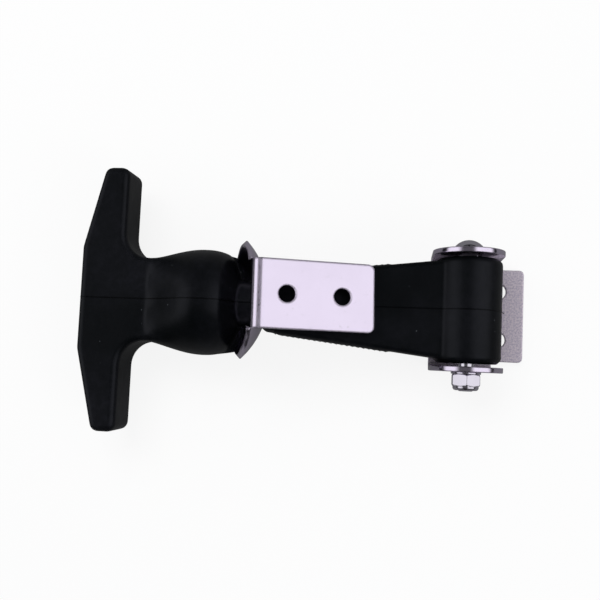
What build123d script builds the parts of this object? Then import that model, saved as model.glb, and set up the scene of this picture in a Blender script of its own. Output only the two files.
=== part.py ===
from build123d import *
from math import cos, radians, sin, sqrt
import os

# Rubber T draw latch, in millimetres.
# The latch lies as it does unfastened on a flat surface: the hinge plate flat on it, the strap level,
# the keeper still hooked round the neck behind the bulb and leaning on the strap.
# +X runs from the T handle to the hinge, +Y along the pivot bolt towards its head, +Z up.
# The origin is on the hinge plate's underside, midway between its two screw holes.

# ---------------------------------------------------------------- rubber strap
bulb_radius = 20.4
bulb_from_pin = 99.0
bulb_shoulder = 8.9          # from the bulb's centre to the edge of the shoulder the keeper bears on
shoulder_rise = 4.0          # the shoulder slopes on by this much to the neck
shoulder_round = 3.4
handle_width = 102.1         # across the T, tip to tip
handle_thickness = 18.0
handle_back_from_pin = 147.8
handle_flat_back = 39.6      # straight middle of the handle's back edge
handle_tip_depth = 9.5       # from the finger edge to the back edge at a tip
handle_bar_depth = 17.1      # from the finger edge to the back edge in the middle
handle_tip_round = 3.2
handle_back_round = 6.0
handle_edge_round = 2.2
finger_round = 9.5           # fillets between the arms and the stem
stem_width = 32.0
stem_length = 9.7            # from the finger edge to where the stem starts to swell
swell_from_bulb = 11.5       # a section of the swelling stem, back from the bulb's centre
swell_width = 37.6
swell_height = 31.0
swell_corner = 14.0
shoulder_from_bulb = 5.0     # and one close to the bulb's widest
shoulder_width = 40.3
shoulder_height = 38.8
shoulder_corner = 18.8
neck_radius = 8.6
strap_thickness = 17.0
strap_start_from_pin = 71.5
strap_start_width = 22.1
strap_end_width = 38.6
strap_edge_round = 2.0
rib_pitch = 2.1
rib_depth = 0.4
rib_first_from_pin = 69.8
rib_count = 20
eye_radius = 12.5
eye_width = 38.8
eye_edge_chamfer = 1.6
eye_crease_radius = 1.2      # crease where the strap's flat faces meet the eye

# ---------------------------------------------------------------- pivot bolt, washer and nut (M6)
bolt_diameter = 6.0
bolt_head_diameter = 12.4
bolt_head_height = 4.2
bolt_neck_side = 6.0
bolt_neck_length = 3.0
bolt_point_chamfer = 0.6
bolt_past_nut = 0.3
washer_diameter = 11.0
washer_thickness = 0.8
nut_flats = 10.0
nut_height = 6.0
nut_hexagon_height = 4.4
nut_collar_diameter = 9.5
nut_collar_round = 1.1
nut_corner_drop = 0.5        # the hexagon's corners are turned down by this much on both faces
insert_diameter = 8.0
insert_thickness = 1.5
insert_lip = 0.3             # the crimped lip that holds the insert in
insert_lip_opening = 7.0

# ---------------------------------------------------------------- hinge bracket
hinge_sheet = 2.0
ear_radius = 13.3
ears_apart = 41.0
hinge_bend_inside = 1.6
hinge_hole_diameter = 6.0
hinge_hole_spacing = 19.0
pin_to_hinge_holes = 13.2
hinge_plate_width = 36.2
hinge_plate_past_holes = 9.7
hinge_plate_round = 1.8
ear_foot_from_pin = 11.0     # where the relief beside the plate's tongue starts
ear_foot_height = 4.4

# ---------------------------------------------------------------- keeper bracket
keeper_sheet = 2.0
keeper_tilt = 19.0           # its plate dips towards the hinge
keeper_roll = 5.0            # and leans a little to one side, as it hangs on the neck
dish_diameter = 42.4
dish_radius = 29.0
keeper_slot_width = 19.0
slot_end_above_centre = 3.3  # top of the slot's round end, above the dish's centre
fork_below_centre = 12.0     # the fork's two legs end here
fork_tip_round = 2.0
keeper_plate_width = 25.2
keeper_plate_height = 19.0   # from the dish's centre to the plate's outer face
keeper_plate_reach = 44.8    # from the web's bulb side to the plate's free end
keeper_plate_round = 2.4
keeper_bend_outside = 3.6
keeper_hole_diameter = 6.2
keeper_hole_spacing = 20.3
keeper_hole_from_end = 12.0
web_start = 12.0             # the web leaves the dish this far above its centre
web_front = 2.6              # bulb side of the web, from the plane of the dish's rim
web_straight = 0.5           # flat stretch below the bend
dish_from_pin = 85.2
dish_above_pin = 9.5
dish_aside = 0.85            # its centre stands this far over, so that its slot is about the neck

# ---------------------------------------------------------------- clearances
running_clearance = 0.05     # radial, bolt in the eye and in the nut
bolt_hole_clearance = 0.15   # bolt in the ears and the washer

# ---------------------------------------------------------------- places worked out from the sizes
pin_x = -pin_to_hinge_holes
pin_height = bulb_radius
ear_inside = ears_apart / 2
ear_outside = ear_inside + hinge_sheet
ear_top = pin_height + ear_radius
bulb_x = pin_x - bulb_from_pin
shoulder_x = bulb_x + bulb_shoulder
handle_back_x = pin_x - handle_back_from_pin
finger_x = handle_back_x + handle_bar_depth
stem_x = finger_x + stem_length
strap_start_x = pin_x - strap_start_from_pin
bolt_radius = bolt_diameter / 2
bore_radius = bolt_radius + running_clearance
bolt_hole_radius = bolt_radius + bolt_hole_clearance
mid = Plane.XY.offset(pin_height)
# Looks along the bolt from its head: its first axis is +X and its second runs down.
across_pin = Plane(origin=(pin_x, 0, pin_height), x_dir=(1, 0, 0), z_dir=(0, 1, 0))

os.makedirs("parts", exist_ok=True)


def keep(builder, name):
    builder.part.label = name
    export_step(builder.part, f"parts/{name}.step")


# ================================================================ rubber strap
half_outline = [
    (handle_back_x, handle_flat_back / 2),
    (finger_x - handle_tip_depth, handle_width / 2),
    (finger_x, handle_width / 2),
    (finger_x, stem_width / 2),
    (stem_x, stem_width / 2),
]
other_half = [(x, -y) for x, y in reversed(half_outline)]

with BuildPart() as rubber_strap:
    # T handle: a flat slab with square sides and softened edges.
    with BuildSketch(mid) as handle:
        with BuildLine():
            Polyline(*half_outline, *other_half, close=True)
        make_face()
        tips = handle.vertices().filter_by(lambda v: abs(v.Y) > handle_width / 2 - 0.01)
        fillet(tips, handle_tip_round)
        inner = handle.vertices().filter_by(
            lambda v: abs(v.X - finger_x) < 0.01 and abs(v.Y) < stem_width / 2 + 0.01
        )
        fillet(inner, finger_round)
        back = handle.vertices().filter_by(lambda v: abs(v.X - handle_back_x) < 0.01)
        fillet(back, handle_back_round)
    extrude(amount=handle_thickness / 2, both=True)
    flat_sides = rubber_strap.edges().group_by(Axis.Z)[0] + rubber_strap.edges().group_by(Axis.Z)[-1]
    fillet(flat_sides.filter_by(lambda e: e.center().X < stem_x - 0.5), handle_edge_round)

    # Stem: the slab's oblong section swells into the round of the bulb.
    with BuildSketch(Plane.YZ.offset(stem_x)):
        with Locations((0, pin_height)):
            RectangleRounded(stem_width, handle_thickness, handle_edge_round)
    with BuildSketch(Plane.YZ.offset(bulb_x - swell_from_bulb)):
        with Locations((0, pin_height)):
            RectangleRounded(swell_width, swell_height, swell_corner)
    with BuildSketch(Plane.YZ.offset(bulb_x - shoulder_from_bulb)):
        with Locations((0, pin_height)):
            RectangleRounded(shoulder_width, shoulder_height, shoulder_corner)
    with BuildSketch(Plane.YZ.offset(bulb_x)):
        with Locations((0, pin_height)):
            Circle(bulb_radius)
    loft()

    # Bulb and neck: turned about the strap's axis, with the shoulder that the keeper bears on.
    shoulder_top = sqrt(bulb_radius**2 - bulb_shoulder**2)
    with BuildSketch(Plane.XZ) as bulb:
        with BuildLine():
            start = (bulb_x, pin_height + bulb_radius)
            edge = (shoulder_x, pin_height + shoulder_top)
            RadiusArc(start, edge, bulb_radius)
            Polyline(
                edge,
                (shoulder_x + shoulder_rise, pin_height + neck_radius),
                (strap_start_x + neck_radius, pin_height + neck_radius),
                (strap_start_x + neck_radius, pin_height),
                (bulb_x, pin_height),
                start,
            )
        make_face()
        fillet(bulb.vertices().sort_by_distance(edge)[0], shoulder_round)
    revolve(axis=Axis((bulb_x, 0, pin_height), (1, 0, 0)))

    # Strap: flat on top and underneath, widening towards the eye.
    with BuildSketch(mid) as taper:
        with BuildLine():
            Polyline(
                (strap_start_x, strap_start_width / 2),
                (pin_x, strap_end_width / 2),
                (pin_x, -strap_end_width / 2),
                (strap_start_x, -strap_start_width / 2),
                close=True,
            )
        make_face()
    extrude(amount=strap_thickness / 2, both=True)
    long_edges = rubber_strap.edges().filter_by(
        lambda e: e.length > strap_start_from_pin - eye_radius
        and abs(e.center().X - (strap_start_x + pin_x) / 2) < eye_radius
    )
    fillet(long_edges, strap_edge_round)

    # Ribs down both side edges, to grip when the latch is pulled.
    with BuildSketch(mid):
        for rib in range(rib_count):
            from_pin = rib_first_from_pin - rib * rib_pitch
            share = from_pin / strap_start_from_pin
            half_width = (strap_end_width + (strap_start_width - strap_end_width) * share) / 2
            with Locations((pin_x - from_pin, half_width), (pin_x - from_pin, -half_width)):
                Rectangle(rib_pitch / 2, 2 * rib_depth)
    extrude(amount=strap_thickness / 2 - strap_edge_round, both=True)

    # Eye: a barrel across the strap's end with rounded rims, bored for the bolt.
    with BuildSketch(Plane.YZ.offset(pin_x)) as eye:
        with Locations((0, pin_height + eye_radius / 2)):
            Rectangle(eye_width, eye_radius)
        chamfer(eye.vertices().group_by(Axis.Y)[-1], eye_edge_chamfer)
    revolve(axis=Axis((pin_x, 0, pin_height), (0, 1, 0)))
    crease_from_pin = sqrt(eye_radius**2 - strap_thickness**2 / 4)
    creases = rubber_strap.edges().filter_by(
        lambda e: abs(e.center().X - (pin_x - crease_from_pin)) < 0.05
        and abs(e.center().Y) < 0.5
        and e.length > eye_width / 2
    )
    fillet(creases, eye_crease_radius)
    with BuildSketch(across_pin):
        Circle(bore_radius)
    extrude(amount=eye_width, both=True, mode=Mode.SUBTRACT)

keep(rubber_strap, "rubber_strap")


# ================================================================ hinge bracket
with BuildPart() as hinge_bracket:
    with BuildSketch(Plane.YZ.offset(pin_x)) as channel:
        with Locations((0, ear_top / 2)):
            Rectangle(2 * ear_outside, ear_top)
        fillet(channel.vertices().group_by(Axis.Y)[0], hinge_bend_inside + hinge_sheet)
        with Locations((0, ear_top / 2 + hinge_sheet)):
            Rectangle(2 * ear_inside, ear_top, mode=Mode.SUBTRACT)
        floor_corners = channel.vertices().filter_by(lambda v: abs(v.Y - hinge_sheet) < 0.01)
        fillet(floor_corners, hinge_bend_inside)
    extrude(amount=ear_radius, both=True)
    # Both ears end in a half round about the bolt.
    with BuildSketch(across_pin):
        Circle(ear_radius)
        with Locations((0, pin_height / 2)):
            Rectangle(2 * ear_radius, pin_height)
    extrude(amount=ear_outside, both=True, mode=Mode.INTERSECT)
    # Relief where the ears' bends stop beside the plate's tongue.
    with BuildSketch(Plane.XY):
        with Locations((pin_x + (ear_foot_from_pin + ear_radius) / 2, 0)):
            Rectangle(ear_radius - ear_foot_from_pin, 2 * ear_outside)
    extrude(amount=ear_foot_height, mode=Mode.SUBTRACT)
    # The tongue with the two screw holes.
    tongue_start = pin_x + ear_foot_from_pin - hinge_bend_inside
    with BuildSketch(Plane.XY) as tongue:
        with Locations(((tongue_start + hinge_plate_past_holes) / 2, 0)):
            Rectangle(hinge_plate_past_holes - tongue_start, hinge_plate_width)
        fillet(tongue.vertices().group_by(Axis.X)[-1], hinge_plate_round)
    extrude(amount=hinge_sheet)
    with BuildSketch(Plane.XY):
        with GridLocations(1, hinge_hole_spacing, 1, 2):
            Circle(hinge_hole_diameter / 2)
    extrude(amount=hinge_sheet, mode=Mode.SUBTRACT)
    # Square hole for the bolt's neck in one ear, round hole in the other.
    with BuildSketch(across_pin.offset(ear_inside)):
        Rectangle(bolt_neck_side + 2 * bolt_hole_clearance, bolt_neck_side + 2 * bolt_hole_clearance)
    extrude(amount=hinge_sheet, mode=Mode.SUBTRACT)
    with BuildSketch(across_pin.offset(-ear_outside)):
        Circle(bolt_hole_radius)
    extrude(amount=hinge_sheet, mode=Mode.SUBTRACT)

keep(hinge_bracket, "hinge_bracket")


# ================================================================ pivot bolt, washer and nut
nut_face = -ear_outside - washer_thickness
nut_end = nut_face - nut_height
bolt_end = nut_end - bolt_past_nut
head_sphere = (bolt_head_diameter**2 / 4 + bolt_head_height**2) / (2 * bolt_head_height)

with BuildPart() as pivot_bolt:
    with BuildSketch(Plane.YZ.offset(pin_x)) as head:
        with BuildLine():
            crown = (ear_outside + bolt_head_height, pin_height)
            brim = (ear_outside, pin_height + bolt_head_diameter / 2)
            RadiusArc(crown, brim, -head_sphere)
            Polyline(brim, (ear_outside, pin_height), crown)
        make_face()
    revolve(axis=Axis((pin_x, 0, pin_height), (0, 1, 0)))
    with BuildSketch(across_pin.offset(ear_outside - bolt_neck_length)):
        Rectangle(bolt_neck_side, bolt_neck_side)
    extrude(amount=bolt_neck_length)
    with BuildSketch(across_pin.offset(bolt_end)):
        Circle(bolt_radius)
    extrude(amount=ear_outside - bolt_end)
    chamfer(pivot_bolt.edges().group_by(Axis.Y)[0], bolt_point_chamfer)

keep(pivot_bolt, "pivot_bolt")

with BuildPart() as flat_washer:
    with BuildSketch(across_pin.offset(nut_face)):
        Circle(washer_diameter / 2)
        Circle(bolt_hole_radius, mode=Mode.SUBTRACT)
    extrude(amount=washer_thickness)

keep(flat_washer, "flat_washer")

with BuildPart() as lock_nut:
    # Hexagon with a corner upwards, its corners turned down on both faces.
    with BuildSketch(across_pin.offset(nut_face - nut_hexagon_height)):
        RegularPolygon(nut_flats / 2, 6, major_radius=False, rotation=30)
    extrude(amount=nut_hexagon_height)
    corner_radius = nut_flats / sqrt(3)
    face_radius = corner_radius - nut_corner_drop * sqrt(3)
    hexagon_end = nut_face - nut_hexagon_height
    with BuildSketch(Plane.YZ.offset(pin_x)):
        with BuildLine():
            Polyline(
                (nut_face, pin_height),
                (nut_face, pin_height + face_radius),
                (nut_face - nut_corner_drop, pin_height + corner_radius),
                (hexagon_end + nut_corner_drop, pin_height + corner_radius),
                (hexagon_end, pin_height + face_radius),
                (hexagon_end, pin_height),
                close=True,
            )
        make_face()
    revolve(axis=Axis((pin_x, 0, pin_height), (0, 1, 0)), mode=Mode.INTERSECT)
    # Collar, crimped over the nylon insert.
    with BuildSketch(across_pin.offset(nut_end)):
        Circle(nut_collar_diameter / 2)
    extrude(amount=nut_height - nut_hexagon_height)
    fillet(lock_nut.edges().group_by(Axis.Y)[0], nut_collar_round)
    with BuildSketch(across_pin.offset(nut_end)):
        Circle(bore_radius)
    extrude(amount=nut_height, mode=Mode.SUBTRACT)
    with BuildSketch(across_pin.offset(nut_end + insert_lip)):
        Circle(insert_diameter / 2)
    extrude(amount=insert_thickness, mode=Mode.SUBTRACT)
    with BuildSketch(across_pin.offset(nut_end)):
        Circle(insert_lip_opening / 2)
    extrude(amount=insert_lip, mode=Mode.SUBTRACT)

keep(lock_nut, "lock_nut")

with BuildPart() as nut_insert:
    with BuildSketch(across_pin.offset(nut_end + insert_lip)):
        Circle(insert_diameter / 2)
        Circle(bore_radius, mode=Mode.SUBTRACT)
    extrude(amount=insert_thickness)

keep(nut_insert, "nut_insert")


# ================================================================ keeper bracket
# Modelled square about the dish: x towards the plate's free end, y across, z from the dish to the plate,
# with the origin at the centre of the dish's rim. Then it is set down in its hooked place.
rim_radius = dish_diameter / 2
dish_depth = dish_radius - sqrt(dish_radius**2 - rim_radius**2)
dish_centre = dish_depth - dish_radius
plate_end = web_front + keeper_plate_reach
web_top = keeper_plate_height - keeper_bend_outside - web_straight

with BuildPart() as keeper_bracket:
    # Dish: a shallow spherical cap of sheet, hollow towards the bulb.
    with BuildSketch(Plane.XZ) as cap:
        with Locations((dish_centre, 0)):
            Circle(dish_radius + keeper_sheet)
            Circle(dish_radius, mode=Mode.SUBTRACT)
        with Locations((dish_depth, rim_radius / 2)):
            Rectangle(4 * dish_depth, rim_radius, mode=Mode.INTERSECT)
        with Locations((dish_depth + keeper_sheet, rim_radius / 2)):
            Rectangle(2 * dish_depth + 2 * keeper_sheet, rim_radius, mode=Mode.INTERSECT)
    revolve(axis=Axis.X)
    # Its legs are cut off level, and its top makes way for the web.
    with BuildSketch(Plane.XY.offset(-fork_below_centre)):
        Rectangle(4 * rim_radius, 4 * rim_radius)
    extrude(amount=-rim_radius, mode=Mode.SUBTRACT)
    with BuildSketch(Plane.XY.offset(web_start)):
        Rectangle(4 * rim_radius, keeper_plate_width)
    extrude(amount=rim_radius, mode=Mode.SUBTRACT)
    # The sheet flattens from the dish's curve into the web.
    with BuildSketch(Plane.XY.offset(web_start)):
        with Locations((dish_centre, 0)):
            Circle(sqrt((dish_radius + keeper_sheet) ** 2 - web_start**2))
            Circle(sqrt(dish_radius**2 - web_start**2), mode=Mode.SUBTRACT)
        with Locations((dish_depth, 0)):
            Rectangle(4 * dish_depth, keeper_plate_width, mode=Mode.INTERSECT)
    with BuildSketch(Plane.XY.offset(web_top)):
        with Locations((web_front + keeper_sheet / 2, 0)):
            Rectangle(keeper_sheet, keeper_plate_width)
    loft(ruled=True)
    # Web, bend and plate: one strip of sheet.
    with BuildSketch(Plane.XZ) as strip:
        with BuildLine():
            Polyline(
                (web_front, web_top),
                (web_front, keeper_plate_height),
                (plate_end, keeper_plate_height),
                (plate_end, keeper_plate_height - keeper_sheet),
                (web_front + keeper_sheet, keeper_plate_height - keeper_sheet),
                (web_front + keeper_sheet, web_top),
                close=True,
            )
        make_face()
        outside = strip.vertices().sort_by_distance((web_front, keeper_plate_height))[0]
        fillet(outside, keeper_bend_outside)
        inside_corner = (web_front + keeper_sheet, keeper_plate_height - keeper_sheet)
        fillet(strip.vertices().sort_by_distance(inside_corner)[0], keeper_bend_outside - keeper_sheet)
    extrude(amount=keeper_plate_width / 2, both=True)
    free_corners = keeper_bracket.edges().filter_by(Axis.Z).group_by(Axis.X)[-1]
    fillet(free_corners, keeper_plate_round)
    # Two screw holes along the plate.
    with BuildSketch(Plane.XY.offset(keeper_plate_height - keeper_sheet)):
        with Locations(
            (plate_end - keeper_hole_from_end, 0),
            (plate_end - keeper_hole_from_end - keeper_hole_spacing, 0),
        ):
            Circle(keeper_hole_diameter / 2)
    extrude(amount=keeper_sheet, mode=Mode.SUBTRACT)
    # Slot, open at the bottom, with a round end.
    slot_radius = keeper_slot_width / 2
    with BuildSketch(Plane.YZ.offset(-rim_radius)) as slot:
        with Locations((0, slot_end_above_centre - slot_radius)):
            Circle(slot_radius)
        with Locations((0, slot_end_above_centre - slot_radius - rim_radius)):
            Rectangle(keeper_slot_width, 2 * rim_radius)
    extrude(amount=2 * rim_radius, mode=Mode.SUBTRACT)
    leg_corners = keeper_bracket.edges().filter_by(Axis.X).group_by(Axis.Z)[0]
    fillet(leg_corners, fork_tip_round)

# Set down: rolled about the strap, tilted about the bolt's direction, and moved to the bulb.
tilt = radians(keeper_tilt)
roll = radians(keeper_roll)
keeper_place = Plane(
    origin=(pin_x - dish_from_pin, dish_aside, pin_height + dish_above_pin),
    x_dir=(cos(tilt), 0, -sin(tilt)),
    z_dir=(sin(tilt) * cos(roll), sin(roll), cos(tilt) * cos(roll)),
)
hooked_keeper = keeper_bracket.part.moved(keeper_place.location)
hooked_keeper.label = "keeper_bracket"
export_step(hooked_keeper, "parts/keeper_bracket.step")
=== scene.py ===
import math

import bmesh
import bpy
from bpy.props import FloatProperty, FloatVectorProperty, IntProperty, PointerProperty
from mathutils import Euler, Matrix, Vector


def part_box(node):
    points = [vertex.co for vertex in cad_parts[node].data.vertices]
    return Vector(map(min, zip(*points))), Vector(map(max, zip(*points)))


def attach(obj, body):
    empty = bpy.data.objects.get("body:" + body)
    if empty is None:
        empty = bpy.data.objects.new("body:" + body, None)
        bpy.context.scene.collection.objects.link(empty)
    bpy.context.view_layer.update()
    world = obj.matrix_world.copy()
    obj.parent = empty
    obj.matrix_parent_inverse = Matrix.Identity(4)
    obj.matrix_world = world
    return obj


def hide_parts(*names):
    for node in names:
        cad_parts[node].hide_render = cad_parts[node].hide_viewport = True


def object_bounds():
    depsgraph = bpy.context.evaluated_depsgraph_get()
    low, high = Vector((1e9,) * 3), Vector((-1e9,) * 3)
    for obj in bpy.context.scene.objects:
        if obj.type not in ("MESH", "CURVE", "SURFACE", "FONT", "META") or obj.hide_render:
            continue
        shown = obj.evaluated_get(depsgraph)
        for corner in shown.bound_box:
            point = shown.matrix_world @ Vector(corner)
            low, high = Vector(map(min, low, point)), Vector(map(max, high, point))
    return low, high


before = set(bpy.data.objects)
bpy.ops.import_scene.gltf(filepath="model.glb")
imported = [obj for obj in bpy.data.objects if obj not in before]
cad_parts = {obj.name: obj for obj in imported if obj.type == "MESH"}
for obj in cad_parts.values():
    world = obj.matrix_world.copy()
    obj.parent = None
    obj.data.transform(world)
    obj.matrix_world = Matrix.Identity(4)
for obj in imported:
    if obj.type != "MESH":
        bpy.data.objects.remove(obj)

bl_info = {
    "name": "Rubber T draw latch",
    "version": (1, 0, 0),
    "blender": (4, 5, 0),
    "location": "View3D > Sidebar > Draw latch",
    "description": "Dresses a rubber draw latch: moulded strap, plated brackets, pivot hardware",
    "category": "Object",
}

CAD_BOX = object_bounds()


def middle(node):
    """Centre of a CAD node's box, in metres."""
    low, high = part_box(node)
    return (Vector(low) + Vector(high)) / 2


def extent(node):
    """Size of a CAD node's box, in metres."""
    low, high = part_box(node)
    return Vector(high) - Vector(low)


# ---------------------------------------------------------------- the latch's places and sizes

# All in metres. The pin is the middle of the pivot bolt. A pair says where a change
# begins and where it is complete.
PIN = Vector((middle("nut_insert").x, 0.0, middle("nut_insert").z))

# The strap tapers from its face beside the neck to the eye.
STRAP_START = 0.0715            # its face, back from the pin
STRAP_HALF_START = 0.01105
STRAP_HALF_END = 0.0193
STRAP_SLOPE = (STRAP_HALF_END - STRAP_HALF_START) / STRAP_START

RIB_START = 0.0698              # the first rib, back from the pin
RIB_HEIGHT = 0.0112
RIB_SUNK = 0.00005              # how far a rib's axis lies inside the strap's edge
RIB_SIDES = 12

FLASH_STEP = 0.0012             # the flash is swept in steps of this length
FLASH_SIDES = 6
FLASH_PLANE = 0.00002           # beside the parting plane, clear of the mesh's own corners
NIB = 0.0007                    # a torn nib of flash

# The neck widens at its sides towards the strap.
NECK_HALF = 0.0086
NECK_REACH = 0.0090             # nothing further aside belongs to the neck
NECK_IN_STRAP = 0.0004          # how far its end runs into the strap's face
NECK_WIDENS = (0.0750, 0.0785)  # back from the pin
NECK_SIDES = (0.0030, 0.0080)   # above and below the pin's height

# The shoulder, between bulb and neck, swells under the keeper's legs.
BULB = PIN - Vector((0.099, 0.0, 0.0))
SHOULDER = (0.004, 0.009)       # from the bulb's centre towards the pin
SHOULDER_END = 0.020
SWELL = 0.0042
SWELL_BELOW = (0.0004, 0.0030)  # below the ends of the legs

# The keeper as it hangs: a dish of sheet with two legs, a web, a bend and a plate.
DISH = PIN + Vector((-0.0852, 0.00085, 0.0095))     # the middle of the dish's rim
KEEPER_TILT = math.radians(19.0)
KEEPER_ROLL = math.radians(5.0)
DISH_INSIDE = 0.029             # radius of the dish's hollow
DISH_RIM = 0.0212
LEG_LENGTH = 0.012
SHEET = 0.002
BEND_OUT = 0.0062               # the axis of the bend, out from the dish's rim and up
BEND_UP = 0.0154
SCUFF_OUT = (-0.0016, -0.0004)  # the dull strip on the bend, out from its axis and up
SCUFF_UP = (0.0028, 0.0040)
SCUFF_FADE = 0.0002

# The rim is cut square to the sheet: along a cone from the middle of the dish's sphere,
# a little narrower beside the web.
RIM_TURN = math.radians(45.5)
RIM_TURN_BACK = math.radians(2.3)
RIM_NARROWS = (0.006, 0.014)    # up from the rim's middle
ON_SURFACE = 0.00003            # a corner this near to a surface lies on it


def keeper_axes():
    """The keeper's own frame at rest: out of the dish, and up its web."""
    tilt, roll = KEEPER_TILT, KEEPER_ROLL
    out = Vector((math.cos(tilt), 0.0, -math.sin(tilt)))
    up = Vector((math.sin(tilt) * math.cos(roll), math.sin(roll), math.cos(tilt) * math.cos(roll)))
    return out, up


def strap_half(from_pin):
    """Half the strap's width at a distance back from the pin."""
    return STRAP_HALF_START - STRAP_SLOPE * (from_pin - STRAP_START)


def rise(value, span):
    """Goes smoothly from 0 at the span's start to 1 at its end."""
    low, high = span
    share = min(max((value - low) / (high - low), 0.0), 1.0)
    return share * share * (3.0 - 2.0 * share)


# ---------------------------------------------------------------- finishes

# Plating: how dark its clouds are, the roughness where it is polished and where it lies
# on the ground, how fine the grain is, and how far edges are worn round.
KEEPER_PLATING = dict(shade=0.95, polish=0.12, matt=0.0, grain=2200.0, worn=0.0012)
HINGE_PLATING = dict(shade=0.85, polish=0.10, matt=0.48, grain=1600.0, worn=0.0006)
HARDWARE_PLATING = dict(shade=0.9, polish=0.06, matt=0.0, grain=2600.0, worn=0.0003)
ON_GROUND = (0.0060, 0.0025)    # heights over which plating turns to its state on the ground
DULL_METAL = 0.78               # how metallic it is there

DUST = (0.10, 0.11, 0.12)
# Painted shade of a groove along the parting line: its dark colour, and the half widths over which
# it fades in.
PARTING_SEAM_SHADE = (0.0004, 0.0005, 0.0006)
PARTING_SEAM_SHADE_HALF = (0.00042, 0.00018)

# ---------------------------------------------------------------- the studio

FLOOR_BELOW = 0.0003            # how far the floor lies under the latch
FLOOR_GLOW = 0.86               # the share of the floor that is plain white to the eye
FLOOR_IN_METAL = 0.08           # how bright the floor is where metal mirrors it
PANEL_IN_METAL = 1.02           # how bright the light panels are there
CEILING_IN_METAL = 0.09
AIM = Vector((-0.075, 0.0, 0.02))                   # the place that the lamps are turned to
CAMERA_FROM_PIN = Vector((-0.0242, -0.0217, 0.2965))
CAMERA_TURN = (4.885, 7.243, 2.512)                 # degrees


# ---------------------------------------------------------------- settings

class RubberSettings(bpy.types.PropertyGroup):
    colour: FloatVectorProperty(
        name="Rubber", description="Colour of the clean moulded rubber",
        subtype="COLOR", size=3, min=0, max=1, default=(0.0012, 0.0017, 0.0020))
    bloom: FloatVectorProperty(
        name="Bloom", description="Colour of the grey bloom that lies over the rubber in patches",
        subtype="COLOR", size=3, min=0, max=1, default=(0.0056, 0.0059, 0.0080))
    cell: FloatProperty(
        name="Smoothing cell", description="Size of the cells that round the moulding's corners",
        subtype="DISTANCE", unit="LENGTH", min=0.0003, max=0.002, default=0.0006)
    flash: FloatProperty(
        name="Flash", description="Radius of the moulding flash along the parting line",
        subtype="DISTANCE", unit="LENGTH", min=0.00005, max=0.0006, default=0.00016)
    rib_pitch: FloatProperty(
        name="Rib pitch", description="Distance from rib to rib along the strap's edges",
        subtype="DISTANCE", unit="LENGTH", min=0.001, max=0.005, default=0.0021)
    rib_radius: FloatProperty(
        name="Rib radius", description="Radius of a rib's round top",
        subtype="DISTANCE", unit="LENGTH", min=0.0002, max=0.001, default=0.00052)
    rib_count: IntProperty(
        name="Ribs", description="Ribs down each edge", min=2, max=40, default=20)


class PlateSettings(bpy.types.PropertyGroup):
    colour: FloatVectorProperty(
        name="Plating", description="Colour of the bright zinc plating",
        subtype="COLOR", size=3, min=0, max=1, default=(0.82, 0.74, 0.91))
    edge: FloatProperty(
        name="Edge round", description="Rounding of the sheet's sheared edges",
        subtype="DISTANCE", unit="LENGTH", min=0.00005, max=0.0006, default=0.00028)
    hardware: FloatVectorProperty(
        name="Hardware", description="Colour of the bolt, washer and nut",
        subtype="COLOR", size=3, min=0, max=1, default=(0.74, 0.71, 0.80))
    hardware_edge: FloatProperty(
        name="Hardware edge round", description="Rounding of the bolt's and nut's edges",
        subtype="DISTANCE", unit="LENGTH", min=0.00003, max=0.0004, default=0.00016)
    nylon: FloatVectorProperty(
        name="Nylon", description="Colour of the ring inside the nut",
        subtype="COLOR", size=3, min=0, max=1, default=(0.20, 0.25, 0.42))


class StageSettings(bpy.types.PropertyGroup):
    lens: FloatProperty(
        name="Lens", description="Focal length of the camera", subtype="DISTANCE_CAMERA",
        min=10, max=200, default=47.04)
    key: FloatProperty(
        name="Key light", description="Power of the large soft light above",
        unit="POWER", min=0, max=50, default=3.2)
    floor: FloatVectorProperty(
        name="Floor", description="Colour of the pale floor",
        subtype="COLOR", size=3, min=0, max=1, default=(0.90, 0.90, 0.90))


# ---------------------------------------------------------------- mesh helpers

def merged_copy(node, name):
    """A copy of a CAD node whose loose triangles are joined into one skin."""
    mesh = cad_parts[node].data.copy()
    mesh.name = name
    mesh.materials.clear()
    skin = bmesh.new()
    skin.from_mesh(mesh)
    bmesh.ops.remove_doubles(skin, verts=skin.verts, dist=2e-6)
    bmesh.ops.dissolve_degenerate(skin, edges=skin.edges, dist=1e-6)
    skin.to_mesh(mesh)
    skin.free()
    piece = bpy.data.objects.new(name, mesh)
    bpy.context.scene.collection.objects.link(piece)
    return piece


def settle(piece):
    """Turns a piece and its modifiers into a plain mesh."""
    bpy.context.view_layer.update()
    graph = bpy.context.evaluated_depsgraph_get()
    mesh = bpy.data.meshes.new_from_object(piece.evaluated_get(graph))
    mesh.name = piece.name
    piece.modifiers.clear()
    piece.data = mesh


def smooth(piece, sharp=None):
    """Shades a piece smooth, keeping edges over the given angle, in degrees, sharp."""
    for face in piece.data.polygons:
        face.use_smooth = True
    if sharp is not None:
        piece.data.set_sharp_from_angle(angle=math.radians(sharp))


def soft_edges(piece, width, clamp=False):
    """Joins flat facets and rounds the corners of sheet or turned metal."""
    skin = bmesh.new()
    skin.from_mesh(piece.data)
    bmesh.ops.dissolve_limit(
        skin, angle_limit=math.radians(0.05), verts=skin.verts, edges=skin.edges)
    skin.to_mesh(piece.data)
    skin.free()
    smooth(piece)
    bevel = piece.modifiers.new("Edge round", "BEVEL")
    bevel.width = width
    bevel.segments = 2
    bevel.limit_method = "ANGLE"
    bevel.angle_limit = math.radians(35.0)
    bevel.use_clamp_overlap = clamp
    even = piece.modifiers.new("Flat faces", "WEIGHTED_NORMAL")
    even.mode = "FACE_AREA"
    even.weight = 50
    even.keep_sharp = True
    settle(piece)


def finish_piece(piece, body, slot, material, *nodes):
    """Gives a piece its material and hangs it on its body."""
    piece.data.materials.clear()
    piece.data.materials.append(material)
    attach(piece, body)
    if nodes:
        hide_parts(*nodes)


# ---------------------------------------------------------------- node helpers

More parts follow.
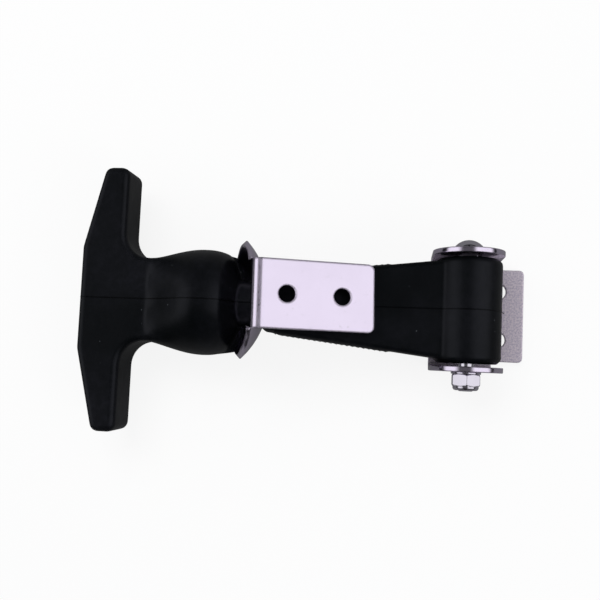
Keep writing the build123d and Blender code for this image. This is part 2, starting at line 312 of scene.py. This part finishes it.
class Nodes:
    """Adds and joins the nodes of one tree."""

    def __init__(self, tree):
        self.tree = tree

    def put(self, socket, value):
        """Links an output into a socket, or sets the socket's plain value."""
        if isinstance(value, bpy.types.NodeSocket):
            self.tree.links.new(value, socket)
        else:
            socket.default_value = value

    def add(self, kind, inputs=None, **settings):
        """A new node with its own settings, and its inputs linked or set."""
        node = self.tree.nodes.new(kind)
        for name, value in settings.items():
            setattr(node, name, value)
        for name, value in (inputs or {}).items():
            self.put(node.inputs[name], value)
        return node

    def remap(self, value, low, high, to_low=0.0, to_high=1.0, curve="LINEAR"):
        """Takes low to to_low and high to to_high, and stays between them."""
        ends = {"From Min": low, "From Max": high, "To Min": to_low, "To Max": to_high}
        node = self.add(
            "ShaderNodeMapRange", {"Value": value, **ends}, interpolation_type=curve)
        return node.outputs["Result"]

    def math(self, operation, first, second=0.0):
        node = self.add("ShaderNodeMath", {0: first, 1: second}, operation=operation)
        return node.outputs["Value"]

    def mix_shaders(self, share, first, second):
        node = self.add("ShaderNodeMixShader", {"Fac": share, 1: first, 2: second})
        return node.outputs["Shader"]


class Shader(Nodes):
    """The nodes of one material, placed by the piece's own coordinates."""

    def __init__(self, name):
        self.material = bpy.data.materials.new(name)
        self.material.use_nodes = True
        super().__init__(self.material.node_tree)
        self.surface = self.tree.nodes["Principled BSDF"]
        self.place = self.add("ShaderNodeTexCoord").outputs["Object"]

    def set(self, name, value):
        """Links or sets an input of the surface itself."""
        self.put(self.surface.inputs[name], value)

    def along(self, axis):
        """The piece's own coordinate along X, Y or Z."""
        return self.add("ShaderNodeSeparateXYZ", {"Vector": self.place}).outputs[axis]

    def noise(self, scale, detail=3.0, rough=0.55):
        node = self.add("ShaderNodeTexNoise", {
            "Scale": scale, "Detail": detail, "Roughness": rough, "Vector": self.place})
        return node.outputs["Fac"]

    def blend(self, share, first, second):
        """Goes from the first colour to the second."""
        node = self.add("ShaderNodeMix", data_type="RGBA")
        self.put(node.inputs["Factor"], share)
        colours = [socket for socket in node.inputs if socket.type == "RGBA"]
        for socket, value in zip(colours, (first, second)):
            self.put(socket, (*value[:3], 1.0) if isinstance(value, (tuple, list)) else value)
        return next(socket for socket in node.outputs if socket.type == "RGBA")

    def bump(self, height, strength, distance, before=None):
        """The normal that a height gives, over the one before it."""
        node = self.add("ShaderNodeBump", {
            "Height": height, "Strength": strength, "Distance": distance})
        if before is not None:
            self.put(node.inputs["Normal"], before)
        return node.outputs["Normal"]


class GeometryTree(Nodes):
    """A Geometry Nodes tree with named inputs, that ends in one dressed mesh."""

    def __init__(self, name, **sockets):
        super().__init__(bpy.data.node_groups.new(name, "GeometryNodeTree"))
        new_socket = self.tree.interface.new_socket
        self.identifiers = {}
        for label, kind in sockets.items():
            socket = new_socket(label, in_out="INPUT", socket_type="NodeSocket" + kind)
            self.identifiers[label] = socket.identifier
        new_socket("Geometry", in_out="OUTPUT", socket_type="NodeSocketGeometry")
        self.given = self.add("NodeGroupInput").outputs

    def finish(self, geometry):
        """Makes the geometry real and dresses it in the Finish material."""
        real = self.add("GeometryNodeRealizeInstances", {"Geometry": geometry})
        dress = self.add("GeometryNodeSetMaterial", {
            "Geometry": real.outputs["Geometry"], "Material": self.given["Finish"]})
        self.add("NodeGroupOutput", {"Geometry": dress.outputs["Geometry"]})

    def run(self, piece, **values):
        """Runs the tree on a piece with these inputs and leaves a plain mesh."""
        nodes = piece.modifiers.new(self.tree.name, "NODES")
        nodes.node_group = self.tree
        for label, value in values.items():
            nodes[self.identifiers[label]] = value
        settle(piece)


# ---------------------------------------------------------------- materials

def moulded_rubber(settings):
    """Near-black rubber: bloom in patches, dust specks, mould grain, and a dark line of painted
    shade, as of a groove, along the parting line.
    """
    s = Shader("moulded_rubber")
    patches = s.remap(s.noise(28.0, detail=4.0, rough=0.6), 0.40, 0.68)
    mottle = s.remap(s.noise(420.0, rough=0.6), 0.40, 0.70, 0.55, 1.3)
    patches = s.math("MULTIPLY", patches, mottle)
    colour = s.blend(patches, settings.colour[:], settings.bloom[:])

    # Dust: few, small pale specks.
    specks = s.add("ShaderNodeTexVoronoi", {"Scale": 260.0, "Vector": s.place})
    near = s.remap(specks.outputs["Distance"], 0.065, 0.035)
    chosen = s.add("ShaderNodeSeparateColor", {"Color": specks.outputs["Color"]})
    few = s.math("GREATER_THAN", chosen.outputs["Red"], 0.66)
    dust = s.math("MULTIPLY", s.math("MULTIPLY", near, few), 0.8)
    colour = s.blend(dust, colour, DUST)

    # Parting line down the middle of the moulding, drawn as a thin dark line of painted shade, as
    # of a groove.
    line = s.remap(s.math("ABSOLUTE", s.along("Y")), *PARTING_SEAM_SHADE_HALF)
    s.set("Base Color", s.blend(s.math("MULTIPLY", line, 0.8), colour, PARTING_SEAM_SHADE))

    s.set("Roughness", s.remap(s.noise(60.0, detail=5.0, rough=0.65), 0.3, 0.75, 0.32, 0.44))
    s.set("Specular IOR Level", 0.20)
    s.set("Specular Tint", (0.84, 0.86, 1.0, 1.0))
    grain = s.bump(s.noise(2600.0, detail=2.0, rough=0.6), strength=0.10, distance=0.0001)
    waves = s.bump(s.noise(110.0, rough=0.5), strength=0.22, distance=0.0006, before=grain)
    s.set("Normal", waves)
    return s.material


def bend_scuff(s, centre, out, up):
    """Roughness of the dull strip where plating is scuffed along the outside of a bend."""
    scuff = s.remap(s.noise(700.0, rough=0.6), 0.30, 0.55, 0.25, 0.50)
    for axis, (low, high) in ((out, SCUFF_OUT), (up, SCUFF_UP)):
        along = s.add("ShaderNodeVectorMath", {0: s.place, 1: axis}, operation="DOT_PRODUCT")
        from_bend = s.math("SUBTRACT", along.outputs["Value"], centre.dot(axis))
        for edge, fade in ((low, SCUFF_FADE), (high, -SCUFF_FADE)):
            scuff = s.math("MULTIPLY", scuff, s.remap(from_bend, edge - fade, edge + fade))
    return scuff


def zinc_plate(name, colour, shade, polish, matt, grain, worn, bend=None):
    """Bright zinc plating: faint clouds, pits, grain, and edges worn round."""
    s = Shader(name)

    def tone(share):
        return tuple(min(c * share, 1.0) for c in colour[:])

    clouds = s.remap(s.noise(35.0, detail=4.0, rough=0.6), 0.35, 0.7)
    polished = s.blend(clouds, tone(1.0), tone(shade))
    pits = s.remap(s.noise(900.0, detail=2.0, rough=0.5), 0.66, 0.74)
    polished = s.blend(s.math("MULTIPLY", pits, 0.25), polished, tone(0.6))

    # Parts that lie on the ground are left matt and grainy, the rest is polished.
    low = s.remap(s.along("Z"), *ON_GROUND)
    specks = s.remap(s.noise(1500.0, detail=2.0, rough=0.6), 0.38, 0.62)
    s.set("Base Color", s.blend(low, polished, s.blend(specks, tone(1.22), tone(0.86))))
    s.set("Metallic", s.remap(low, 0.0, 1.0, 1.0, DULL_METAL))
    rough = s.remap(s.noise(60.0, detail=4.0, rough=0.6), 0.3, 0.7, polish, polish + 0.05)
    if bend is not None:
        rough = s.math("MAXIMUM", rough, bend_scuff(s, *bend))
    s.set("Roughness", s.math("MAXIMUM", rough, s.math("MULTIPLY", low, matt)))

    worn_edges = s.add("ShaderNodeBevel", {"Radius": worn}, samples=6)
    fine = s.noise(grain, rough=0.6)
    coarse = s.math("MULTIPLY", s.noise(grain / 3.0, detail=2.0, rough=0.5), 0.5)
    s.set("Normal", s.bump(
        s.math("ADD", fine, coarse), strength=0.10, distance=0.00006,
        before=worn_edges.outputs["Normal"]))
    return s.material


def nylon_ring(colour):
    """Dull nylon with a faint mottle."""
    s = Shader("nylon_ring")
    mottle = s.remap(s.noise(400.0, rough=0.5), 0.35, 0.65)
    s.set("Base Color", s.blend(mottle, colour[:], tuple(c * 0.7 for c in colour[:])))
    s.set("Roughness", 0.45)
    s.set("Normal", s.bump(s.noise(1500.0), strength=0.1, distance=0.00005))
    return s.material


# ---------------------------------------------------------------- the strap

class LATCH_OT_strap(bpy.types.Operator):
    """Builds the rubber moulding with softened corners"""
    bl_idname = "latch.strap"
    bl_label = "Rubber strap"

    def widen_neck(self, place):
        """Brings the neck's sides out to meet the strap's taper."""
        from_pin = PIN.x - place.x
        end = STRAP_START - NECK_IN_STRAP
        if end < from_pin < NECK_WIDENS[1] and abs(place.y) < NECK_REACH:
            share = 1.0 - rise(from_pin, NECK_WIDENS)
            share *= 1.0 - rise(abs(place.z - PIN.z), NECK_SIDES)
            place.y *= 1.0 + (strap_half(from_pin) / NECK_HALF - 1.0) * share

    def swell_shoulder(self, place, up):
        """Swells the shoulder below the keeper's legs, where nothing holds it back."""
        along = place.x - BULB.x
        if SHOULDER[0] < along < SHOULDER_END:
            below = -LEG_LENGTH - (place - DISH).dot(up)
            place.x += SWELL * rise(below, SWELL_BELOW) * rise(along, SHOULDER)

    def execute(self, context):
        rubber = context.scene.latch_rubber
        piece = merged_copy("rubber_strap", "strap_moulding")
        cells = piece.modifiers.new("Cells", "REMESH")
        cells.mode = "VOXEL"
        cells.voxel_size = rubber.cell
        ease = piece.modifiers.new("Ease", "SMOOTH")
        ease.factor = 0.5
        ease.iterations = 3
        settle(piece)
        up = keeper_axes()[1]
        for vert in piece.data.vertices:
            self.widen_neck(vert.co)
            self.swell_shoulder(vert.co, up)
        smooth(piece)
        finish_piece(piece, "strap", "strap_rubber", moulded_rubber(rubber), "rubber_strap")
        return {"FINISHED"}


class LATCH_OT_flash(bpy.types.Operator):
    """Runs the thin moulding flash round the strap's parting plane"""
    bl_idname = "latch.flash"
    bl_label = "Moulding flash"

    def trace_parting(self, piece):
        """Leaves only the moulding's outline on the parting plane, without its bore."""
        skin = bmesh.new()
        skin.from_mesh(piece.data)
        cut = bmesh.ops.bisect_plane(
            skin, geom=skin.verts[:] + skin.edges[:] + skin.faces[:],
            plane_co=(0, FLASH_PLANE, 0), plane_no=(0, 1, 0))
        outline = {v for v in cut["geom_cut"] if isinstance(v, bmesh.types.BMVert)}
        bore = extent("nut_insert").x / 2
        keep = {v for v in outline if (Vector((v.co.x, 0, v.co.z)) - PIN).length > bore}
        bmesh.ops.delete(skin, geom=[v for v in skin.verts if v not in keep], context="VERTS")
        bmesh.ops.delete(skin, geom=skin.faces[:], context="FACES_ONLY")
        # A torn nib of flash at each end of the moulding.
        ends = sorted((v.co.copy() for v in skin.verts), key=lambda place: place.x)
        for end, turn in ((ends[0], -1.0), (ends[-1], 1.0)):
            root = Vector((end.x, 0.0, PIN.z))
            tip = root + Vector((turn * NIB, -NIB / 2, NIB / 2))
            skin.edges.new((skin.verts.new(root), skin.verts.new(tip)))
        skin.to_mesh(piece.data)
        skin.free()

    def flash_tree(self):
        """Sweeps a thin round section along the outline."""
        tree = GeometryTree(
            "Moulding flash", Geometry="Geometry", Radius="Float", Finish="Material")
        path = tree.add("GeometryNodeMeshToCurve", {"Mesh": tree.given["Geometry"]})
        even = tree.add("GeometryNodeResampleCurve", {
            "Curve": path.outputs["Curve"], "Length": FLASH_STEP}, mode="LENGTH")
        section = tree.add("GeometryNodeCurvePrimitiveCircle", {
            "Resolution": FLASH_SIDES, "Radius": tree.given["Radius"]})
        sweep = tree.add("GeometryNodeCurveToMesh", {
            "Curve": even.outputs["Curve"], "Profile Curve": section.outputs["Curve"]})
        tree.finish(sweep.outputs["Mesh"])
        return tree

    def execute(self, context):
        material = bpy.data.materials["moulded_rubber"]
        piece = merged_copy("rubber_strap", "strap_flash")
        self.trace_parting(piece)
        self.flash_tree().run(piece, Radius=context.scene.latch_rubber.flash, Finish=material)
        smooth(piece)
        finish_piece(piece, "strap", "strap_rubber", material)
        return {"FINISHED"}


class LATCH_OT_ribs(bpy.types.Operator):
    """Sets the grip ribs along both edges of the strap"""
    bl_idname = "latch.ribs"
    bl_label = "Grip ribs"

    def rib_tree(self):
        """Stands round ribs in a row along one edge, and mirrors the row to the other."""
        tree = GeometryTree(
            "Grip ribs", Count="Int", Pitch="Float", Radius="Float", Height="Float",
            First="Vector", Slope="Float", Finish="Material")
        given = tree.given
        aside = tree.math("MULTIPLY", given["Pitch"], given["Slope"])
        step = tree.add("ShaderNodeCombineXYZ", {"X": given["Pitch"], "Y": aside})
        row = tree.add("GeometryNodeMeshLine", {
            "Count": given["Count"], "Start Location": given["First"],
            "Offset": step.outputs["Vector"]})
        rib = tree.add("GeometryNodeMeshCylinder", {
            "Vertices": RIB_SIDES, "Radius": given["Radius"], "Depth": given["Height"]})
        ribs = tree.add("GeometryNodeInstanceOnPoints", {
            "Points": row.outputs["Mesh"], "Instance": rib.outputs["Mesh"]})
        one_edge = tree.add(
            "GeometryNodeRealizeInstances", {"Geometry": ribs.outputs["Instances"]})
        mirrored = tree.add("GeometryNodeTransform", {
            "Geometry": one_edge.outputs["Geometry"], "Scale": (1.0, -1.0, 1.0)})
        other_edge = tree.add("GeometryNodeFlipFaces", {"Mesh": mirrored.outputs["Geometry"]})
        both = tree.add("GeometryNodeJoinGeometry", {"Geometry": other_edge.outputs["Mesh"]})
        tree.put(both.inputs["Geometry"], one_edge.outputs["Geometry"])
        tree.finish(both.outputs["Geometry"])
        return tree

    def execute(self, context):
        rubber = context.scene.latch_rubber
        material = bpy.data.materials["moulded_rubber"]
        piece = bpy.data.objects.new("strap_ribs", bpy.data.meshes.new("strap_ribs"))
        context.scene.collection.objects.link(piece)
        first = (PIN.x - RIB_START, strap_half(RIB_START) - RIB_SUNK, PIN.z)
        self.rib_tree().run(
            piece, Count=rubber.rib_count, Pitch=rubber.rib_pitch, Radius=rubber.rib_radius,
            Height=RIB_HEIGHT, First=first, Slope=STRAP_SLOPE, Finish=material)
        smooth(piece, sharp=40.0)
        finish_piece(piece, "strap", "strap_rubber", material)
        return {"FINISHED"}


# ---------------------------------------------------------------- brackets and hardware

class LATCH_OT_keeper(bpy.types.Operator):
    """Builds the dished and slotted keeper bracket"""
    bl_idname = "latch.keeper"
    bl_label = "Keeper bracket"

    def square_rim(self, piece, out, up):
        """Cuts the dish's rim square to its sheet, with less overhang beside the web."""
        centre = DISH - out * math.sqrt(DISH_INSIDE**2 - DISH_RIM**2)
        outside = DISH_INSIDE + SHEET
        for vert in piece.data.vertices:
            from_rim = vert.co - DISH
            radial = from_rim - out * from_rim.dot(out)
            on_rim = abs(radial.length - DISH_RIM) < ON_SURFACE
            turn = RIM_TURN - RIM_TURN_BACK * rise(from_rim.dot(up), RIM_NARROWS)
            from_centre = vert.co - centre
            reach = from_centre.length
            on_skin = min(abs(reach - DISH_INSIDE), abs(reach - outside)) < ON_SURFACE
            past_cut = on_skin and from_centre.angle(out) > turn
            if on_rim or past_cut:
                sphere = DISH_INSIDE if reach < DISH_INSIDE + SHEET / 2 else outside
                along_cut = out * math.cos(turn) + radial.normalized() * math.sin(turn)
                vert.co = centre + along_cut * sphere

    def execute(self, context):
        plate = context.scene.latch_plate
        piece = merged_copy("keeper_bracket", "keeper_sheet")
        out, up = keeper_axes()
        self.square_rim(piece, out, up)
        soft_edges(piece, plate.edge, clamp=True)
        bend = (DISH + out * BEND_OUT + up * BEND_UP, out, up)
        finish = zinc_plate("bright_zinc", plate.colour, **KEEPER_PLATING, bend=bend)
        finish_piece(piece, "keeper", "bright_plate", finish, "keeper_bracket")
        return {"FINISHED"}


class LATCH_OT_hinge(bpy.types.Operator):
    """Builds the hinge bracket with its two ears"""
    bl_idname = "latch.hinge"
    bl_label = "Hinge bracket"

    def execute(self, context):
        plate = context.scene.latch_plate
        piece = merged_copy("hinge_bracket", "hinge_sheet")
        soft_edges(piece, plate.edge)
        finish = zinc_plate("hinge_zinc", plate.colour, **HINGE_PLATING)
        finish_piece(piece, "hinge", "bright_plate", finish, "hinge_bracket")
        return {"FINISHED"}


class LATCH_OT_hardware(bpy.types.Operator):
    """Builds the pivot bolt, washer, nut and the nut's ring"""
    bl_idname = "latch.hardware"
    bl_label = "Pivot hardware"

    def execute(self, context):
        plate = context.scene.latch_plate
        zinc = zinc_plate("hardware_zinc", plate.hardware, **HARDWARE_PLATING)
        nylon = nylon_ring(plate.nylon)
        for node, name, slot, finish in (
            ("pivot_bolt", "bolt", "bright_plate", zinc),
            ("flat_washer", "washer", "bright_plate", zinc),
            ("lock_nut", "nut", "bright_plate", zinc),
            ("nut_insert", "nut_ring", "nylon", nylon),
        ):
            piece = merged_copy(node, name)
            soft_edges(piece, plate.hardware_edge)
            finish_piece(piece, "hinge", slot, finish, node)
        return {"FINISHED"}


# ---------------------------------------------------------------- stage

class LATCH_OT_stage(bpy.types.Operator):
    """Sets the floor, the studio light and the camera"""
    bl_idname = "latch.stage"
    bl_label = "Stage"

    def floor(self, colour):
        """A wide pale floor, which keeps the shadows and is dim where metal mirrors it."""
        bpy.ops.mesh.primitive_plane_add(size=6.0, location=(0, 0, 0))
        floor = bpy.context.object
        floor.name = "floor"
        floor.location = (0, 0, CAD_BOX[0][2] - FLOOR_BELOW)
        s = Shader("pale_floor")
        tone = s.remap(s.noise(3.0, detail=2.0), 0.0, 1.0, 0.98, 1.0)
        s.set("Base Color", s.blend(tone, (0.0, 0.0, 0.0), colour[:]))
        s.set("Roughness", 0.9)
        s.set("Specular IOR Level", 0.0)
        seen = s.add("ShaderNodeLightPath").outputs
        shown = s.math("MAXIMUM", seen["Is Camera Ray"], seen["Is Glossy Ray"])
        shown = s.math("MAXIMUM", shown, seen["Is Transmission Ray"])
        glow = s.add("ShaderNodeEmission", {
            "Color": (1, 1, 1, 1),
            "Strength": s.remap(seen["Is Glossy Ray"], 0.0, 1.0, 1.0, FLOOR_IN_METAL)})
        mixed = s.mix_shaders(
            s.math("MULTIPLY", shown, FLOOR_GLOW),
            s.surface.outputs["BSDF"], glow.outputs["Emission"])
        s.put(s.tree.nodes["Material Output"].inputs["Surface"], mixed)
        floor.data.materials.append(s.material)

    def panels(self, n):
        """What metal sees: a bright panel to each side, a dim ceiling, a dark horizon."""
        def ease(value, low, high, to_low, to_high):
            return n.remap(value, low, high, to_low, to_high, curve="SMOOTHSTEP")

        direction = n.add("ShaderNodeTexCoord").outputs["Generated"]
        axes = n.add("ShaderNodeSeparateXYZ", {"Vector": direction}).outputs
        lean = n.math("ARCTAN2", axes["X"], axes["Z"])
        level = n.math(
            "MAXIMUM",
            ease(lean, 0.14, 0.42, CEILING_IN_METAL, PANEL_IN_METAL),
            ease(lean, -0.72, -0.40, PANEL_IN_METAL, CEILING_IN_METAL))
        for limit in (
            ease(n.math("ABSOLUTE", lean), 1.25, 1.45, 1.0, 0.1),
            ease(axes["Y"], 0.30, 0.60, 1.0, 0.26),
            ease(axes["Y"], -0.50, -0.30, 0.10, 1.0),
            ease(axes["Z"], 0.04, 0.42, 0.09, 1.0),
        ):
            level = n.math("MULTIPLY", level, limit)
        return level

    def world(self):
        """White to the eye, panels to metal, and a soft even light on all else."""
        world = bpy.data.worlds.new("studio")
        bpy.context.scene.world = world
        world.use_nodes = True
        n = Nodes(world.node_tree)
        back = n.tree.nodes["Background"]
        back.inputs["Color"].default_value = (0.97, 0.98, 1.0, 1)
        back.inputs["Strength"].default_value = 0.55
        seen = n.add("ShaderNodeLightPath").outputs
        plain = n.math("MAXIMUM", seen["Is Camera Ray"], seen["Is Transmission Ray"])
        white = n.add("ShaderNodeBackground", {
            "Color": (1, 1, 1, 1), "Strength": n.math("MAXIMUM", self.panels(n), plain)})
        mixed = n.mix_shaders(
            n.math("MAXIMUM", plain, seen["Is Glossy Ray"]),
            back.outputs["Background"], white.outputs["Background"])
        n.put(n.tree.nodes["World Output"].inputs["Surface"], mixed)

    def lamp(self, name, place, size, power):
        """A soft rectangular lamp turned to the middle of the latch."""
        data = bpy.data.lights.new(name, "AREA")
        data.shape = "RECTANGLE"
        data.size, data.size_y = size
        data.energy = power
        lamp = bpy.data.objects.new(name, data)
        bpy.context.scene.collection.objects.link(lamp)
        lamp.visible_glossy = False
        lamp.location = place
        lamp.rotation_euler = (AIM - Vector(place)).to_track_quat("-Z", "Y").to_euler()

    def camera(self, lens):
        """The camera, nearly straight above the latch."""
        data = bpy.data.cameras.new("camera")
        data.lens = lens
        data.sensor_width = 36.0
        camera = bpy.data.objects.new("camera", data)
        bpy.context.scene.collection.objects.link(camera)
        camera.location = PIN + CAMERA_FROM_PIN
        camera.rotation_euler = Euler([math.radians(angle) for angle in CAMERA_TURN])
        bpy.context.scene.camera = camera

    def execute(self, context):
        stage = context.scene.latch_stage
        self.floor(stage.floor)
        self.world()
        self.lamp("key", (-0.25, 0.35, 0.75), (0.55, 0.40), stage.key)
        self.lamp("side", (0.45, -0.30, 0.45), (0.30, 0.30), stage.key * 0.3)
        self.camera(stage.lens)
        context.scene.view_settings.view_transform = "Standard"
        return {"FINISHED"}


class LATCH_PT_panel(bpy.types.Panel):
    """Settings and steps of the draw latch"""
    bl_idname = "LATCH_PT_panel"
    bl_label = "Draw latch"
    bl_space_type = "VIEW_3D"
    bl_region_type = "UI"
    bl_category = "Draw latch"

    def draw(self, context):
        column = self.layout.column()
        scene = context.scene
        for group in (scene.latch_rubber, scene.latch_plate, scene.latch_stage):
            for name in group.bl_rna.properties.keys():
                if name not in ("rna_type", "name"):
                    column.prop(group, name)
        for step in STEPS:
            column.operator(step.bl_idname)


STEPS = (
    LATCH_OT_strap, LATCH_OT_flash, LATCH_OT_ribs, LATCH_OT_keeper,
    LATCH_OT_hinge, LATCH_OT_hardware, LATCH_OT_stage,
)
CLASSES = (RubberSettings, PlateSettings, StageSettings, *STEPS, LATCH_PT_panel)


def register():
    for cls in CLASSES:
        bpy.utils.register_class(cls)
    bpy.types.Scene.latch_rubber = PointerProperty(type=RubberSettings)
    bpy.types.Scene.latch_plate = PointerProperty(type=PlateSettings)
    bpy.types.Scene.latch_stage = PointerProperty(type=StageSettings)


def unregister():
    del bpy.types.Scene.latch_stage
    del bpy.types.Scene.latch_plate
    del bpy.types.Scene.latch_rubber
    for cls in reversed(CLASSES):
        bpy.utils.unregister_class(cls)


def main():
    register()
    bpy.ops.latch.strap()
    bpy.ops.latch.flash()
    bpy.ops.latch.ribs()
    bpy.ops.latch.keeper()
    bpy.ops.latch.hinge()
    bpy.ops.latch.hardware()
    bpy.ops.latch.stage()


if __name__ == "__main__":
    main()
